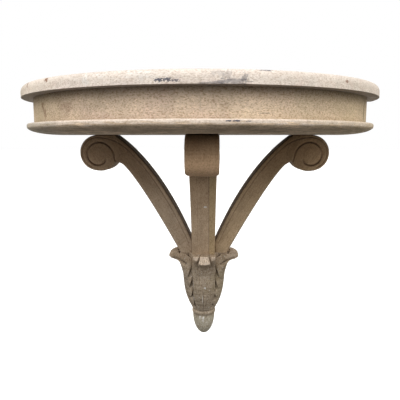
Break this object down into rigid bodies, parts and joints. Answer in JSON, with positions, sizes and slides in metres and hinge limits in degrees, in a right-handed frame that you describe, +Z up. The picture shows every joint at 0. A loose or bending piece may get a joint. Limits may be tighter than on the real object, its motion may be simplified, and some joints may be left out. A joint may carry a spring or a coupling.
{
  "type": "wall console",
  "caption": "Half-oval wooden wall shelf with a plain frieze, carried on scroll brackets that run down into a carved leaf pendant with an acorn tip.",
  "frame": {"origin": "middle of the frieze's flat back face, where the console is fixed to the wall", "axes": "+X to the right along the wall, +Y into the wall, +Z up"},
  "size_m": [0.8, 0.34, 0.5829],
  "materials": {
    "top_wood": "worn pale limed wood, matt, ink-stained at the edge",
    "frieze_wood": "bleached beige wood, matt, speckled",
    "lower_board_wood": "bleached brown wood, matt, with a worn pale lip",
    "bracket_wood": "grey-brown weathered wood, matt",
    "pendant_wood": "grey-brown carved wood, matt, with specks of old white paint"
  },
  "bodies": {
    "root": {"top_board": "top_wood", "frieze": "frieze_wood", "lower_board": "lower_board_wood", "left_bracket": "bracket_wood", "centre_bracket": "bracket_wood", "right_bracket": "bracket_wood", "leaf_pendant": "pendant_wood"}
  },
  "joints": []
}
